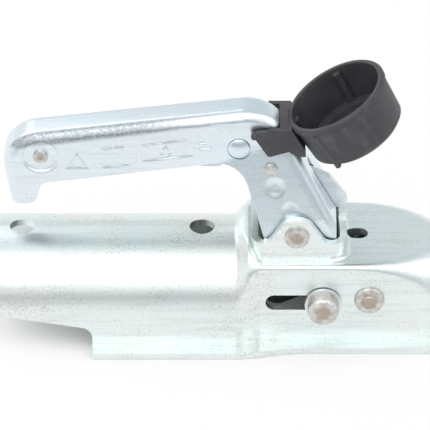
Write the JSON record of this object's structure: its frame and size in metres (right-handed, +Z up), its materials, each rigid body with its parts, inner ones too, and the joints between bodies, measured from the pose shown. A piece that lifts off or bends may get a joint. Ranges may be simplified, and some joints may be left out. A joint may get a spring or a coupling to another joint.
{
  "type": "trailer coupling head",
  "caption": "Pressed steel coupling head with a lifting channel handle, ball dome, clamp jaw and a black plug cup.",
  "frame": {"origin": "centre of the tow ball inside the dome, on the axis of the draw tube", "axes": "+X forward towards the dome, +Z up, Y = 0 the plane of symmetry"},
  "size_m": [0.2635, 0.08, 0.1439],
  "materials": {
    "zinc_housing": "bright zinc plate",
    "zinc_handle": "bright zinc plate",
    "zinc_lever": "bright zinc plate",
    "raw_steel": "upset raw steel",
    "spring_steel": "oiled spring wire",
    "cast_jaw": "phosphated casting",
    "black_plastic": "fine grained moulding"
  },
  "bodies": {
    "housing": {"housing": "zinc_housing", "handle_pin": "raw_steel", "jaw_pin": "raw_steel", "jaw_spacers": "raw_steel", "pull_springs": "spring_steel"},
    "handle": {"handle": "zinc_handle", "cross_rivet": "zinc_handle", "grip_rivet": "raw_steel", "safety_pin": "raw_steel", "lever_spacers": "raw_steel", "safety_spring": "spring_steel", "plug_holder": "black_plastic", "drive_arms": "raw_steel"},
    "lever": {"safety_lever": "zinc_lever"},
    "slide": {"slide_pin": "raw_steel", "slide_washers": "zinc_lever"},
    "jaw": {"jaw": "cast_jaw"}
  },
  "joints": [
    {"name": "handle_lift", "type": "hinge", "parent": "housing", "child": "handle", "pos_m": [-0.072, 0, 0.0434], "axis": [0, 1, 0], "range_deg": [0, 36]},
    {"name": "lever_squeeze", "type": "hinge", "parent": "handle", "child": "lever", "pos_m": [-0.0852, 0, 0.0759], "axis": [0, 1, 0], "range_deg": [0, 15], "stiffness_Nm_per_rad": 0.3, "springref_deg": -17.19, "deforming": ["safety_spring"]},
    {"name": "slide_pull", "type": "slide", "parent": "housing", "child": "slide", "axis": [1, 0, 0], "range_m": [-0.0239, 0], "stiffness_N_per_m": 2000, "springref_m": 0.01, "deforming": ["pull_springs"]},
    {"name": "jaw_swing", "type": "hinge", "parent": "housing", "child": "jaw", "pos_m": [-0.0356, 0, 0.0089], "axis": [0, 1, 0], "range_deg": [0, 14]}
  ],
  "couplings": [
    {"joint": "lever_squeeze", "follows": "handle_lift", "ratio": 0.4166},
    {"joint": "slide_pull", "follows": "handle_lift", "m_per_rad": -0.03803},
    {"joint": "jaw_swing", "follows": "handle_lift", "ratio": 0.3888}
  ]
}
